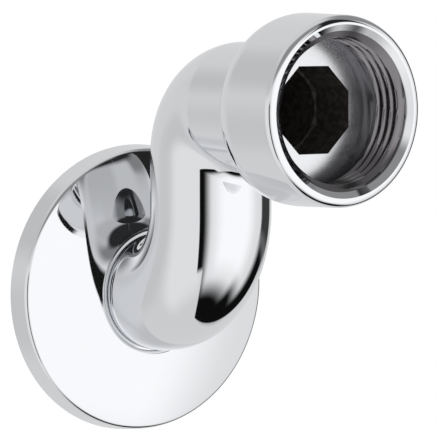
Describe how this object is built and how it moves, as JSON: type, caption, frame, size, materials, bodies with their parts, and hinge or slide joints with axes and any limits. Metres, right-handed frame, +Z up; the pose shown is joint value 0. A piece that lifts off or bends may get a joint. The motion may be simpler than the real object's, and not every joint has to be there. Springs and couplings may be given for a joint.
{
  "type": "s-union",
  "caption": "Chromed offset wall union with two square bends, a male wall thread, a threaded outlet cup with an eight-sided key hole, and a sloped round escutcheon.",
  "frame": {"origin": "on the axis of the wall connection, at the finished wall, where the wall thread starts", "axes": "+Z up, from the wall connection to the outlet; -Y out of the wall, towards the room; +X to the right for someone who faces the wall"},
  "size_m": [0.0544, 0.079, 0.078],
  "materials": {
    "body_chrome": "polished chrome plating over cast brass",
    "plate_chrome": "polished chrome plating over pressed brass"
  },
  "bodies": {
    "root": {"s_body": "body_chrome", "escutcheon": "plate_chrome"}
  },
  "joints": []
}
